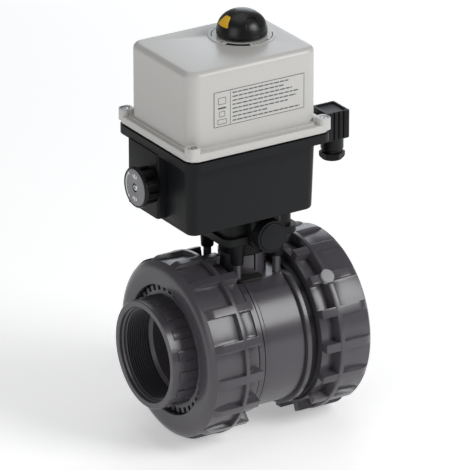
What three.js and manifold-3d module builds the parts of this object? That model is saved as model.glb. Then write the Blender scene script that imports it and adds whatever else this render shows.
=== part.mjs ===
// Motorised quarter-turn actuator on a true-union ball valve.
// Millimetres, +Z up the stem, X along the pipe, origin at the ball's centre.
import * as THREE from 'three';
import { mergeVertices } from 'three/addons/utils/BufferGeometryUtils.js';
import Module from 'manifold-3d';

const wasm = await Module();
wasm.setup();

// ---- driving dimensions (mm)
const BORE_R = 38;              // ball bore
const BALL_R = 58;
const BARREL_R = 71.5;          // valve body barrel
const COLLAR_R = 75.5;          // end collars of the body
const BODY_END = 60;            // left end of the body, from the stem
const REACH = 9;                // the right union stands this much farther from the stem
const SADDLE_Z = 64.6;          // flat on top of the barrel
const NECK_R = 22.5;
const NECK_TOP = 85;
const POST = [21.5, 26];        // bracket post positions, +-x and +-y
const POST_R = 3.8;
const CAP = { x: -0.7, z: 114.3 };           // blanking plug of the bracket
const PIPE_END = 106.6;         // rim of the end connectors
const PIPE_R = 52.7;
const MOUTH_R = 45.4;
const THREAD_R = 43.2;          // mean radius of the G3 thread
const NUT_R = 87.5;             // union nut outside radius
const NUT_HOLE_R = 62;
const NUT_IN = 30;              // inner end of the nut
const NUT_OUT = 84;             // outer face of the nut
const RIBS = 16;
const NUT_TURN = { left: 3.6, right: -2 };   // degrees each nut stands past a rib at the top
const BUTTON_RIB = { left: 10, right: 2 };   // rib that carries the lock button
const BOX = { x0: -96, x1: 43, y0: -63.7, y1: 42.5 };
const BOX_Z0 = 136.5;
const BOX_Z1 = 213.8;
const FLANGE = { x0: -103, x1: 51.4, y0: -76, y1: 54 };
const COVER_Z0 = 215.4;
const COVER_Z1 = 295.4;
const WALL = 4;
const SCREW = [[-96.5, -69.3], [44.9, -69.3], [44.9, 47.3], [-96.5, 47.3]];
const KNOB = { y: -13, z: 175.8, r: 17.6, x0: -104.6, x1: -123.5 };
const PLUG_Y = -10.6;
const FINE = 0.57;             // share of the nominal segments of a turned part
const GEAR = { out: 32, pin: 12, wheel: 30, m1: 2, m2: 1.5 };

// ---- helpers
const colours = {
  pvc: 0x5b5a5f, black: 0x1f2022, gloss: 0x161616, cover: 0xb9b8b4, yellow: 0xeebb22,
  disc: 0x78787a, button: 0x9c9c9e, steel: 0xb4b6b8, brass: 0xb8974a, ptfe: 0xeeeeea,
  rubber: 0x151515, board: 0x1f6b3a, nylon: 0xe6e2d6, blue: 0x2c5fa8, red: 0xa33228,
};

function toSolid(geometry) {
  const g = geometry.clone();
  g.deleteAttribute('normal');
  g.deleteAttribute('uv');
  const m = mergeVertices(g, 1e-4);
  const mesh = new wasm.Mesh({
    numProp: 3,
    vertProperties: new Float32Array(m.attributes.position.array),
    triVerts: new Uint32Array(m.index.array),
  });
  return new wasm.Manifold(mesh);
}

function fromSolid(solid) {
  const mesh = solid.getMesh();
  const g = new THREE.BufferGeometry();
  g.setAttribute('position', new THREE.BufferAttribute(new Float32Array(mesh.vertProperties), 3));
  g.setIndex(new THREE.BufferAttribute(new Uint32Array(mesh.triVerts), 1));
  g.computeVertexNormals();
  return g;
}

function cut(base, ...tools) {
  let s = toSolid(base);
  for (const t of tools) s = s.subtract(toSolid(t));
  return fromSolid(s);
}

function join(base, ...others) {
  let s = toSolid(base);
  for (const t of others) s = s.add(toSolid(t));
  return fromSolid(s);
}

const axisTurn = {
  '+X': [0, Math.PI / 2, 0], '-X': [0, -Math.PI / 2, 0], '+Y': [-Math.PI / 2, 0, 0],
  '-Y': [Math.PI / 2, 0, 0], '+Z': [0, 0, 0], '-Z': [Math.PI, 0, 0],
};

function aim(g, axis) {
  const [a, b, c] = axisTurn[axis];
  g.rotateX(a);
  g.rotateY(b);
  g.rotateZ(c);
  return g;
}

// closed ring or solid of revolution about Z from [r, z] points, then aimed along an axis
function turn(profile, seg = 48, axis = '+Z', phase = 0) {
  const pts = profile.map(([r, z]) => new THREE.Vector2(r, z));
  const onAxis = pts[0].x === 0 && pts[pts.length - 1].x === 0;
  if (!onAxis) pts.push(pts[0].clone());
  let area = 0;
  for (let i = 0; i < pts.length; i += 1) {
    const a = pts[i];
    const b = pts[(i + 1) % pts.length];
    area += a.x * b.y - b.x * a.y;
  }
  if (area < 0) pts.reverse();
  const g = new THREE.LatheGeometry(pts, 4 * Math.round(seg * FINE / 4), phase);
  g.rotateX(Math.PI / 2);
  return aim(g, axis);
}

function cyl(r, z0, z1, seg = 32, axis = '+Z') {
  return turn([[0, z0], [r, z0], [r, z1], [0, z1]], seg, axis);
}

function tube(r0, r1, z0, z1, seg = 40, axis = '+Z') {
  return turn([[r0, z0], [r1, z0], [r1, z1], [r0, z1]], seg, axis);
}

function box(x0, x1, y0, y1, z0, z1) {
  const g = new THREE.BoxGeometry(x1 - x0, y1 - y0, z1 - z0);
  g.translate((x0 + x1) / 2, (y0 + y1) / 2, (z0 + z1) / 2);
  return g;
}

// prism with rounded vertical edges
function slab(x0, x1, y0, y1, z0, z1, r, seg = 5) {
  const s = new THREE.Shape();
  s.moveTo(x0 + r, y0);
  s.lineTo(x1 - r, y0);
  s.absarc(x1 - r, y0 + r, r, -Math.PI / 2, 0, false);
  s.lineTo(x1, y1 - r);
  s.absarc(x1 - r, y1 - r, r, 0, Math.PI / 2, false);
  s.lineTo(x0 + r, y1);
  s.absarc(x0 + r, y1 - r, r, Math.PI / 2, Math.PI, false);
  s.lineTo(x0, y0 + r);
  s.absarc(x0 + r, y0 + r, r, Math.PI, 1.5 * Math.PI, false);
  const g = new THREE.ExtrudeGeometry(s, { depth: z1 - z0, bevelEnabled: false, curveSegments: seg });
  g.translate(0, 0, z0);
  return g;
}

// prism from outline points
function prism(points, z0, z1) {
  const s = new THREE.Shape(points.map(([x, y]) => new THREE.Vector2(x, y)));
  const g = new THREE.ExtrudeGeometry(s, { depth: z1 - z0, bevelEnabled: false });
  g.translate(0, 0, z0);
  return g;
}

function at(g, x, y, z) {
  g.translate(x, y, z);
  return g;
}

// pull the foot of a box in, so its walls lean
function lean(g, z0, z1, cx, cy, amount) {
  const p = g.attributes.position;
  for (let i = 0; i < p.count; i += 1) {
    const t = (p.getZ(i) - z0) / (z1 - z0);
    const k = 1 - amount * (1 - t);
    p.setX(i, cx + (p.getX(i) - cx) * k);
    p.setY(i, cy + (p.getY(i) - cy) * k);
  }
  return g;
}

function piece(name, geometry, colour, metal = 0, rough = 0.55) {
  const m = new THREE.MeshStandardMaterial({ color: colours[colour], metalness: metal, roughness: rough });
  const mesh = new THREE.Mesh(geometry, m);
  mesh.name = name;
  return mesh;
}

function group(name, ...items) {
  const g = new THREE.Group();
  g.name = name;
  for (const i of items.flat()) g.add(i);
  return g;
}

// involute spur gear outline, thinned a little for backlash
function gearPoints(teeth, m, phase, backlash = 0.3) {
  const r = (teeth * m) / 2;
  const rb = r * Math.cos((20 * Math.PI) / 180);
  const ra = r + 0.85 * m;
  const rf = r - 1.2 * m;
  const inv = (rad) => {
    const c = Math.min(1, rb / rad);
    return Math.tan(Math.acos(c)) - Math.acos(c);
  };
  const half = Math.PI / (2 * teeth) - backlash / (2 * r) + inv(r);
  const out = [];
  const radii = [rf, (Math.max(rb, rf) + ra) / 2, ra];
  for (let i = 0; i < teeth; i += 1) {
    const c = phase + (2 * Math.PI * i) / teeth;
    for (const q of radii) {
      const a = c - (half - inv(Math.max(q, rb)));
      out.push([q * Math.cos(a), q * Math.sin(a)]);
    }
    for (const q of [...radii].reverse()) {
      const a = c + (half - inv(Math.max(q, rb)));
      out.push([q * Math.cos(a), q * Math.sin(a)]);
    }
  }
  return out;
}

// ---- valve
function valveBody() {
  const half = [
    [BARREL_R, 17], [COLLAR_R, 17], [COLLAR_R, 28.5], [72, 28.5], [72, 31], [74.6, 31], [74.6, BODY_END],
    [61.5, BODY_END], [61.5, 48], [BALL_R + 2, 48],
  ];
  const left = half.map(([r, x]) => [r, -x]).reverse();
  const right = half.map(([r, x]) => [r, x + REACH]);
  let s = toSolid(turn([...left, ...right], 64, '+X'));
  s = s.subtract(toSolid(box(-29.5, 29.5 + REACH, -40, 40, SADDLE_Z, 90)));
  s = s.add(toSolid(cyl(NECK_R, 61, NECK_TOP, 40)));
  for (const sx of [-1, 1]) {
    for (const sy of [-1, 1]) {
      s = s.add(toSolid(at(cyl(POST_R, 62, 81.5, 20), sx * POST[0], sy * POST[1], 0)));
    }
  }
  for (const sx of [-1, 1]) {
    for (const sy of [-1, 1]) {
      s = s.subtract(toSolid(at(cyl(2.7, 68, 90, 16), sx * POST[0], sy * POST[1], 0)));
    }
  }
  s = s.subtract(toSolid(cyl(15.5, 50, 63.4, 32)));
  s = s.subtract(toSolid(cyl(12.3, 50, 100, 32)));
  s = s.subtract(toSolid(box(-1.1, 1.1, -24, -12.4, 70, 90)));
  return fromSolid(s);
}

function ball() {
  const x = Math.sqrt(BALL_R * BALL_R - BORE_R * BORE_R);
  const pts = [];
  const a0 = Math.acos(x / BALL_R);
  const n = 10;
  for (let i = 0; i <= n; i += 1) {
    const a = a0 + ((Math.PI - 2 * a0) * i) / n;
    pts.push([BALL_R * Math.sin(a), BALL_R * Math.cos(a)]);
  }
  return cut(turn(pts, 36, '+X'), box(-7.2, 7.2, -40, 40, 46.5, 70));
}

function seat(side) {
  const p = [[40, 48], [47, 48], [47, 35.1], [40, 42.8]];
  return turn(p.map(([r, x]) => [r, side * x]), 48, '+X');
}

function seatCarrier(side) {
  const end = side > 0 ? 58 + REACH : 58;
  const p = [[40, 48.4], [40, end], [59.4, end], [59.4, 38], [47.4, 38], [47.4, 48.4]];
  return turn(p.map(([r, x]) => [r, side * x]), 48, '+X');
}

function sealRing(side, major, minor, x) {
  const pts = [];
  for (let i = 0; i < 8; i += 1) {
    const a = (i * Math.PI) / 4 + Math.PI / 8;
    pts.push([major + minor * Math.cos(a), side * (x + minor * Math.sin(a))]);
  }
  return turn(pts, 40, '+X');
}

function endConnector(side) {
  const p = [
    [BORE_R + 2, 60.6], [64.2, 60.6], [64.2, 63.6], [68.6, 63.6], [68.6, 60.6], [73.4, 60.6],
    [73.4, 70], [61, 70], [61, 79], [54.6, 79], [PIPE_R, 81], [PIPE_R, PIPE_END - 1],
    [PIPE_R - 1, PIPE_END], [MOUTH_R, PIPE_END], [MOUTH_R, PIPE_END - 3], [THREAD_R, PIPE_END - 4.5],
    [THREAD_R, 76], [BORE_R + 2, 73],
  ].map(([r, x]) => [r, side > 0 && x < 85 ? x + REACH : x]);
  let s = toSolid(turn(p.map(([r, x]) => [r, side * x]), 48, '+X'));
  const slots = [];
  for (let i = 0; i < 16; i += 1) {
    const b = box(75, 80, -4.4, 4.4, 56.4, 64);
    b.rotateX((i * 2 * Math.PI) / 16);
    if (side < 0) b.rotateY(Math.PI);
    else b.translate(REACH, 0, 0);
    slots.push(toSolid(b));
  }
  s = s.subtract(wasm.Manifold.compose(slots));
  return fromSolid(s);
}

function unionNut(side) {
  const p = [
    [75.4, NUT_IN], [78, NUT_IN], [NUT_R - 0.8, NUT_IN], [NUT_R, 45], [NUT_R, 71],
    [86.2, 77.5], [82.2, 81.8], [74, NUT_OUT], [NUT_HOLE_R, NUT_OUT], [NUT_HOLE_R, 70.5], [75.4, 70.5],
  ];
  let s = toSolid(turn(p.map(([r, x]) => [r, side * x]), 80, '+X'));
  const cuts = [];
  const pitch = (2 * Math.PI) / RIBS;
  for (let i = 0; i < RIBS; i += 1) {
    const w = 12.8;
    const open = box(NUT_IN - 3, 45.5, -w, w, 78, 95);
    const deep = box(49.5, 79, -w, w, 0, 12);
    const q = deep.attributes.position;
    for (let k = 0; k < q.count; k += 1) {
      if (q.getZ(k) < 6) q.setZ(k, q.getX(k) < 60 ? -4.4 : -1.2);
    }
    deep.translate(0, 0, 85.4);
    for (const b of [open, deep]) {
      if (side < 0) b.rotateZ(Math.PI);
      b.rotateX((i + 0.5) * pitch + (NUT_TURN[side > 0 ? 'right' : 'left'] * Math.PI) / 180);
      cuts.push(toSolid(b));
    }
  }
  s = s.subtract(wasm.Manifold.compose(cuts));
  s = s.subtract(toSolid(onNut(cyl(7, 83.4, 90, 24), side)));
  return fromSolid(s);
}

// the lock button sits on a rib at the ring of the nut
function onNut(g, side) {
  const n = side > 0 ? 'right' : 'left';
  g.translate(side * 47, 0, 0);
  g.rotateX((BUTTON_RIB[n] * 2 * Math.PI) / RIBS + (NUT_TURN[n] * Math.PI) / 180);
  return g;
}

function nutButton(side) {
  return onNut(turn([[0, 83.7], [6.7, 83.7], [6.7, 88.6], [6.1, 89.2], [0, 89.2]], 24), side);
}

function stem() {
  const shaft = turn([
    [0, 59.2], [15, 59.2], [15, 62.8], [12, 62.8], [12, 68.2], [10, 68.2], [10, 71.4], [12, 71.4],
    [12, 74.2], [10, 74.2], [10, 77.4], [12, 77.4], [12, 88], [0, 88],
  ], 32);
  return join(shaft, box(-6.8, 6.8, -13, 13, 47.2, 60), box(-7, 7, -7, 7, 87, 104));
}

function stemRing(z) {
  const pts = [];
  for (let i = 0; i < 8; i += 1) {
    const a = (i * Math.PI) / 4;
    pts.push([11.12 + 0.85 * Math.cos(a), z + 1.3 * Math.sin(a)]);
  }
  return turn(pts, 28);
}

function saddlePad() {
  const pad = slab(-24, 3, -34, 34, SADDLE_Z + 0.3, 67.2, 4);
  const holes = [cyl(NECK_R + 0.4, 60, 70, 32)];
  for (const sy of [-1, 1]) holes.push(at(cyl(4.2, 60, 70, 20), -POST[0], sy * POST[1], 0));
  return cut(pad, ...holes);
}

function bracket() {
  let s = toSolid(slab(-40, 40, -37, 37, 104, 117, 9));
  s = s.add(toSolid(slab(-36, 36, -33.5, 33.5, 116, BOX_Z0 - 0.3, 8)));
  s = s.add(toSolid(slab(-16, 16, -44, -30, 102, 133, 4)));
  s = s.add(toSolid(cyl(21.5, NECK_TOP + 0.3, 106, 36)));
  for (const sx of [-1, 1]) {
    for (const sy of [-1, 1]) {
      const leg = turn([[0, 82], [6.2, 82], [7.6, 109], [0, 109]], 20);
      s = s.add(toSolid(at(leg, sx * POST[0], sy * POST[1], 0)));
    }
  }
  s = s.add(toSolid(at(cyl(15.5, 30, 54, 32, '-Y'), CAP.x, 0, CAP.z)));
  s = s.subtract(toSolid(cyl(16, 80, 140, 32)));
  s = s.subtract(toSolid(cyl(21.5, 130.5, 140, 36)));
  s = s.subtract(toSolid(at(cyl(13.7, 50, 56, 28, '-Y'), CAP.x, 0, CAP.z)));
  for (const sx of [-1, 1]) {
    for (const sy of [-1, 1]) {
      s = s.subtract(toSolid(at(cyl(3.3, 80, 124, 16), sx * POST[0], sy * POST[1], 0)));
      s = s.subtract(toSolid(at(cyl(6, 116, 140, 20), sx * POST[0], sy * POST[1], 0)));
    }
  }
  return fromSolid(s);
}

function bracketScrew(sx, sy) {
  const g = turn([[0, 69], [2.4, 69], [2.4, 70], [2.4, 116.3], [5.2, 116.3], [5.2, 121], [0, 121]], 16);
  return at(g, sx * POST[0], sy * POST[1], 0);
}

function driveCoupling() {
  const body = join(cyl(14.5, 89.2, 108, 32), box(-7, 7, -7, 7, 107, 130));
  return cut(body, box(-7.3, 7.3, -7.3, 7.3, 80, 104.6));
}

// ---- actuator
function gearHousing() {
  const { x0, x1, y0, y1 } = BOX;
  const cx = (x0 + x1) / 2;
  const cy = (y0 + y1) / 2;
  let s = toSolid(lean(slab(x0, x1, y0, y1, BOX_Z0, BOX_Z1, 9), BOX_Z0, BOX_Z1, cx, cy, 0.03));
  s = s.add(toSolid(slab(FLANGE.x0, FLANGE.x1, FLANGE.y0, FLANGE.y1, 205.4, BOX_Z1, 12)));
  s = s.add(toSolid(slab(-104, -80, -21, 31, 143, 203.5, 2)));
  s = s.subtract(toSolid(lean(slab(x0 + WALL, x1 - WALL, y0 + WALL, y1 - WALL, BOX_Z0 + WALL + 0.5,
    BOX_Z1 + 1, 6), BOX_Z0, BOX_Z1, cx, cy, 0.03)));
  s = s.subtract(toSolid(cyl(20.4, 130, 150, 40)));
  s = s.subtract(toSolid(at(cyl(4.5, 70, 120, 20, '-X'), 0, KNOB.y, KNOB.z)));
  s = s.subtract(toSolid(at(cyl(9, 30, 60, 24, '+X'), 0, PLUG_Y, 190)));
  for (const [x, y] of SCREW) s = s.subtract(toSolid(at(cyl(2.2, 207.5, 220, 14), x, y, 0)));
  return fromSolid(s);
}

function coverGasket() {
  const g = slab(-94.6, 41.6, -62.3, 41.1, BOX_Z1 + 0.3, COVER_Z0 - 0.3, 8);
  return cut(g, slab(-92.6, 39.6, -60.3, 39.1, 200, 230, 6));
}

function cover() {
  const { x0, x1, y0, y1 } = BOX;
  const cx = (x0 + x1) / 2;
  const cy = (y0 + y1) / 2;
  const outer = lean(slab(x0, x1, y0, y1, COVER_Z0, COVER_Z1, 11), COVER_Z0, COVER_Z1, cx, cy, 0);
  let s = toSolid(outer);
  const rim = slab(x0 + 1.2, x1 - 1.2, y0 + 1.2, y1 - 1.2, COVER_Z1 - 4, COVER_Z1, 10);
  const band = slab(x0 - 5, x1 + 5, y0 - 5, y1 + 5, COVER_Z1 - 3, COVER_Z1 + 1, 4);
  s = s.subtract(toSolid(cut(band, rim)));
  s = s.add(toSolid(slab(FLANGE.x0 + 1, FLANGE.x1 - 1, FLANGE.y0 + 1, FLANGE.y1 - 1, COVER_Z0, 222.5, 11)));
  for (const [x, y] of SCREW) s = s.add(toSolid(at(cyl(6.4, COVER_Z0, 228.5, 20), x, y, 0)));
  s = s.subtract(toSolid(slab(x0 + 3.5, x1 - 3.5, y0 + 3.5, y1 - 3.5, COVER_Z0 - 1, COVER_Z1 - 4, 8)));
  s = s.subtract(toSolid(cyl(8.4, 280, 300, 28)));
  for (const [x, y] of SCREW) {
    s = s.subtract(toSolid(at(cyl(2.5, 200, 230, 14), x, y, 0)));
    s = s.subtract(toSolid(at(cyl(4.4, 224.5, 230, 18), x, y, 0)));
  }
  return fromSolid(s);
}

function coverScrew([x, y]) {
  const g = turn([[0, 208.2], [1.9, 208.2], [1.9, 224.8], [4.1, 224.8], [4.1, 226.6], [3, 227.9], [0, 228.1]], 18);
  return at(cut(g, box(-2.4, 2.4, -0.5, 0.5, 226.6, 230), box(-0.5, 0.5, -2.4, 2.4, 226.6, 230)), x, y, 0);
}

function scaleRing() {
  return tube(10, 31.5, COVER_Z1 + 0.1, 296.6, 48);
}

function domeCap() {
  const pts = [[0, 297.2], [23.5, 297.2], [23.5, 302.5]];
  for (let i = 1; i <= 6; i += 1) {
    const a = (i * Math.PI) / 12;
    pts.push([22.6 * Math.cos(a), 302.5 + 19 * Math.sin(a)]);
  }
  pts[pts.length - 1][0] = 0;
  let s = toSolid(turn(pts, 40));
  for (const a of [0, 1, 2, 3]) {
    const wedge = prism([[9, 0], [40, -17.5], [40, 17.5]], 303.2, 314.8);
    const shell = cyl(19.2, 290, 330, 32);
    const w = toSolid(wedge).subtract(toSolid(shell)).rotate([0, 0, a * 90]);
    s = s.subtract(w);
  }
  s = s.subtract(toSolid(cyl(5.4, 290, 306, 20)));
  return fromSolid(s);
}

function domeInsert(side) {
  const wedge = prism([[9, 0], [40, -16.6], [40, 16.6]], 303.6, 314.4);
  let w = toSolid(wedge).subtract(toSolid(cyl(19.5, 290, 330, 32)));
  w = w.intersect(toSolid(turn([[0, 290], [21.2, 290], [21.2, 308], [20.2, 311.5], [18.2, 318], [0, 318]], 40)));
  return fromSolid(side > 0 ? w : w.rotate([0, 0, 180]));
}

function outputShaft() {
  const g = turn([
    [0, 132], [20, 132], [20, 149], [18, 149], [18, 164], [9.6, 164], [9.6, 211], [5, 211], [5, 305], [0, 305],
  ], 32);
  return cut(g, box(-7.3, 7.3, -7.3, 7.3, 120, 131 + 20));
}

const ANG1 = Math.PI + 0.28;
const CD1 = (GEAR.m1 * (GEAR.out + GEAR.pin)) / 2;
const CD2 = (GEAR.m2 * (GEAR.wheel + GEAR.pin)) / 2;
const MID = [CD1 * Math.cos(ANG1), CD1 * Math.sin(ANG1)];
const ANG2 = Math.PI + 0.55;
const MOT = [MID[0] + CD2 * Math.cos(ANG2), MID[1] + CD2 * Math.sin(ANG2)];

function outputGear() {
  const g = prism(gearPoints(GEAR.out, GEAR.m1, ANG1), 166, 173);
  return cut(g, cyl(9.9, 160, 180, 28));
}

function middleGear() {
  const a = prism(gearPoints(GEAR.pin, GEAR.m1, ANG1 + Math.PI + Math.PI / GEAR.pin), 165, 174.5);
  const b = prism(gearPoints(GEAR.wheel, GEAR.m2, ANG2), 174, 179);
  return at(cut(join(a, b), cyl(3.3, 150, 190, 20)), MID[0], MID[1], 0);
}

function motorPinion() {
  const g = prism(gearPoints(GEAR.pin, GEAR.m2, ANG2 + Math.PI + Math.PI / GEAR.pin), 173.4, 179.6);
  return at(cut(g, cyl(2.8, 160, 190, 16)), MOT[0], MOT[1], 0);
}

function gearPin() {
  return at(cyl(3, 141.5, 186, 20), MID[0], MID[1], 0);
}

function gearPlate() {
  let s = toSolid(slab(-88, 35, -55, 35, 182, 185, 5));
  for (const [x, y] of [[-82, -49], [29, -49], [29, 29], [-82, 29]]) {
    s = s.add(toSolid(at(cyl(4, 141.4, 238, 16), x, y, 0)));
  }
  s = s.add(toSolid(box(-12, 14, -36.5, -34.5, 184, 207.5)));
  s = s.subtract(toSolid(cyl(10.2, 170, 190, 28)));
  s = s.subtract(toSolid(at(cyl(3.3, 170, 190, 16), MID[0], MID[1], 0)));
  s = s.subtract(toSolid(at(cyl(6, 170, 190, 20), MOT[0], MOT[1], 0)));
  return fromSolid(s);
}

function motor() {
  const g = turn([
    [0, 171], [2.4, 171], [2.4, 185.3], [16, 185.3], [17, 187], [17, 228], [15, 230], [6, 230],
    [6, 233], [0, 233],
  ], 36);
  return at(g, MOT[0], MOT[1], 0);
}

function cam(z, phase) {
  const pts = [];
  for (let i = 0; i < 24; i += 1) {
    const a = (i * Math.PI) / 12;
    const r = i < 4 ? 15.5 : 13;
    pts.push([r * Math.cos(a + phase), r * Math.sin(a + phase)]);
  }
  return cut(prism(pts, z, z + 6), cyl(9.9, z - 5, z + 12, 28));
}

function limitSwitch(z) {
  const g = box(-9, 11, -31, -21, z, z + 6);
  return join(g, box(-2, 2, -22, -17.2, z + 1.6, z + 4.4), box(-7, -6, -34, -30, z + 2, z + 4),
    box(8, 9, -34, -30, z + 2, z + 4));
}

function circuitBoard() {
  let s = toSolid(slab(-88, 35, -55, 35, 238.3, 239.9, 3));
  s = s.subtract(toSolid(cyl(7, 230, 245, 24)));
  return fromSolid(s);
}

function terminalBlock() {
  let s = toSolid(box(-70, -10, -52, -41, 240.2, 253));
  for (let i = 0; i < 6; i += 1) {
    s = s.subtract(toSolid(at(cyl(2.8, 248, 260, 12), -65 + i * 10, -46.5, 0)));
  }
  return fromSolid(s);
}

function knob() {
  const span = KNOB.x0 - KNOB.x1;
  const g = turn([
    [0, 0], [15.4, 0], [15.4, 3], [KNOB.r, 3.6], [KNOB.r, span - 1.6], [KNOB.r - 1.4, span],
    [14.3, span], [14.3, span - 1.6], [0, span - 1.6],
  ], 48, '-X');
  const tools = [];
  for (let i = 0; i < 10; i += 1) {
    const b = box(4.5, span - 3, -2, 2, KNOB.r - 1.4, KNOB.r + 2);
    b.rotateY(Math.PI);
    b.rotateX((i * Math.PI) / 5);
    tools.push(toSolid(b));
  }
  let s = toSolid(g).subtract(wasm.Manifold.compose(tools));
  s = s.subtract(toSolid(cyl(3.5, -2, 30, 20, '-X')));
  return at(fromSolid(s), KNOB.x0, KNOB.y, KNOB.z);
}

function knobFace() {
  const g = tube(4.2, 14, 17.6, 18.6, 40, '-X');
  return at(g, KNOB.x0, KNOB.y, KNOB.z);
}

function knobScrew() {
  const g = turn([[0, 12], [1.5, 12], [1.5, 16.8], [3.2, 16.8], [3.2, 17.8], [2.4, 18.6], [0, 18.8]], 20, '-X');
  return at(cut(g, box(-20, -18, -0.4, 0.4, -1.9, 1.9), box(-20, -18, -1.9, 1.9, -0.4, 0.4)),
    KNOB.x0, KNOB.y, KNOB.z);
}

function knobShaft() {
  const g = turn([[0, -24], [4, -24], [4, -0.3], [3.2, -0.3], [3.2, 15.4], [1.8, 15.4], [1.8, 11.5], [0, 11.5]], 24, '-X');
  return at(join(g, box(23.5, 26, -3.6, 3.6, -3.6, 3.6)), KNOB.x0, KNOB.y, KNOB.z);
}

function connectorBase() {
  const a = slab(-14, 14, -14, 14, 43.4, 49, 3);
  const b = slab(-12.5, 12.5, -12.5, 12.5, 48, 61, 3);
  const g = cut(join(a, b), cyl(7, 40, 70, 24));
  g.rotateY(Math.PI / 2);
  return at(g, 0, PLUG_Y, 190.8);
}

function plugGasket() {
  const g = cut(slab(-13.6, 13.6, -13.6, 13.6, 61.3, 62.9, 2), cyl(7.5, 50, 70, 24));
  g.rotateY(Math.PI / 2);
  return at(g, 0, PLUG_Y, 190.8);
}

function plugBody() {
  const a = slab(-14, 14, -14, 14, 63.2, 103.2, 2.5);
  a.rotateY(Math.PI / 2);
  at(a, 0, PLUG_Y, 194.2);
  let s = toSolid(a);
  s = s.subtract(toSolid(box(60, 79, -40, 20, 200.5, 215)));
  s = s.add(toSolid(at(cyl(10.8, 165.2, 182, 28), 92.4, PLUG_Y, 0)));
  s = s.subtract(toSolid(at(cyl(5.2, 150, 198, 20), 92.4, PLUG_Y, 0)));
  for (const sy of [-1, 1]) {
    for (let i = 0; i < 3; i += 1) {
      const x = 84 + i * 4.6;
      const y = PLUG_Y + sy * 14;
      s = s.subtract(toSolid(box(x, x + 1.6, y - 0.9, y + 0.9, 178, 203)));
    }
  }
  s = s.subtract(toSolid(at(cyl(3.2, 190.5, 215, 20), 71, PLUG_Y, 0)));
  return fromSolid(s);
}

function plugScrew() {
  const g = turn([[0, 190.9], [2.9, 190.9], [2.9, 199], [2.2, 200], [0, 200]], 18);
  return at(cut(g, box(-2.2, 2.2, -0.5, 0.5, 199, 202)), 71, PLUG_Y, 0);
}

function glandNut() {
  const hex = [];
  for (let i = 0; i < 6; i += 1) {
    const a = (i * Math.PI) / 3 + Math.PI / 6;
    hex.push([12.2 * Math.cos(a), 12.2 * Math.sin(a)]);
  }
  const g = join(prism(hex, 159.5, 164.9), turn([[0, 158], [10, 158], [11, 160], [0, 160]], 28));
  return at(cut(g, cyl(4.2, 150, 170, 24)), 92.4, PLUG_Y, 0);
}

function glandSeal() {
  return at(tube(3.6, 4.9, 165.4, 178, 24), 92.4, PLUG_Y, 0);
}

function labelPlate() {
  return box(-70, 26.5, BOX.y0 - 0.55, BOX.y0 - 0.05, 243.7, 277.5);
}

// ---- assembly
const screws = [];
for (const sx of [-1, 1]) {
  for (const sy of [-1, 1]) {
    const n = `bracket_screw_${screws.length + 1}`;
    screws.push(piece(n, bracketScrew(sx, sy), 'steel', 1, 0.35));
  }
}

const valve = group('valve',
  piece('valve_body', valveBody(), 'pvc', 0, 0.45),
  piece('saddle_pad', saddlePad(), 'rubber', 0, 0.8),
  piece('ball', ball(), 'pvc', 0, 0.35),
  piece('ball_seat_left', seat(-1), 'ptfe', 0, 0.5),
  piece('ball_seat_right', seat(1), 'ptfe', 0, 0.5),
  piece('seat_carrier_left', seatCarrier(-1), 'pvc', 0, 0.5),
  piece('seat_carrier_right', seatCarrier(1), 'pvc', 0, 0.5),
  piece('stem', stem(), 'pvc', 0, 0.45),
  piece('stem_ring_lower', stemRing(69.8), 'rubber', 0, 0.8),
  piece('stem_ring_upper', stemRing(75.8), 'rubber', 0, 0.8));

const unions = [['left', -1], ['right', 1]].map(([n, s]) => group(`union_${n}`,
  piece(`end_connector_${n}`, endConnector(s), 'pvc', 0, 0.5),
  piece(`body_seal_${n}`, sealRing(s, 66.4, 1.35, s > 0 ? 62 + REACH : 62), 'rubber', 0, 0.8),
  piece(`union_nut_${n}`, at(unionNut(s), s > 0 ? REACH : 0, 0, 0), 'pvc', 0, 0.45),
  piece(`nut_button_${n}`, at(nutButton(s), s > 0 ? REACH : 0, 0, 0), 'button', 0, 0.6)));

const bracketGroup = group('bracket_group',
  piece('mounting_bracket', bracket(), 'black', 0, 0.55),
  piece('bracket_plug', at(cyl(13.4, 50.4, 55, 36, '-Y'), CAP.x, 0, CAP.z), 'black', 0, 0.5),
  screws,
  piece('drive_coupling', driveCoupling(), 'steel', 1, 0.4));

const actuator = group('actuator',
  piece('gear_housing', gearHousing(), 'black', 0, 0.6),
  piece('gear_plate', gearPlate(), 'steel', 1, 0.45),
  piece('gear_pin', gearPin(), 'steel', 1, 0.3),
  piece('motor', motor(), 'steel', 1, 0.5),
  piece('motor_pinion', motorPinion(), 'brass', 1, 0.4),
  piece('intermediate_gear', middleGear(), 'nylon', 0, 0.5),
  piece('output_gear', outputGear(), 'steel', 1, 0.4),
  piece('output_shaft', outputShaft(), 'steel', 1, 0.35),
  piece('cam_open', cam(189, 1.0), 'yellow', 0, 0.5),
  piece('cam_closed', cam(198, 3.6), 'red', 0, 0.5),
  piece('limit_switch_open', limitSwitch(189), 'black', 0, 0.5),
  piece('limit_switch_closed', limitSwitch(198), 'black', 0, 0.5),
  piece('circuit_board', circuitBoard(), 'board', 0, 0.5),
  piece('terminal_block', terminalBlock(), 'blue', 0, 0.5),
  piece('cover_gasket', coverGasket(), 'rubber', 0, 0.8),
  piece('cover', cover(), 'cover', 0, 0.55),
  piece('label_plate', labelPlate(), 'cover', 0, 0.4),
  SCREW.map((p, i) => piece(`cover_screw_${i + 1}`, coverScrew(p), 'steel', 1, 0.3)));

const indicator = group('indicator',
  piece('scale_ring', scaleRing(), 'cover', 0, 0.5),
  piece('indicator_dome', domeCap(), 'gloss', 0, 0.2),
  piece('indicator_flag_left', domeInsert(-1), 'yellow', 0, 0.5),
  piece('indicator_flag_right', domeInsert(1), 'yellow', 0, 0.5));

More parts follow.
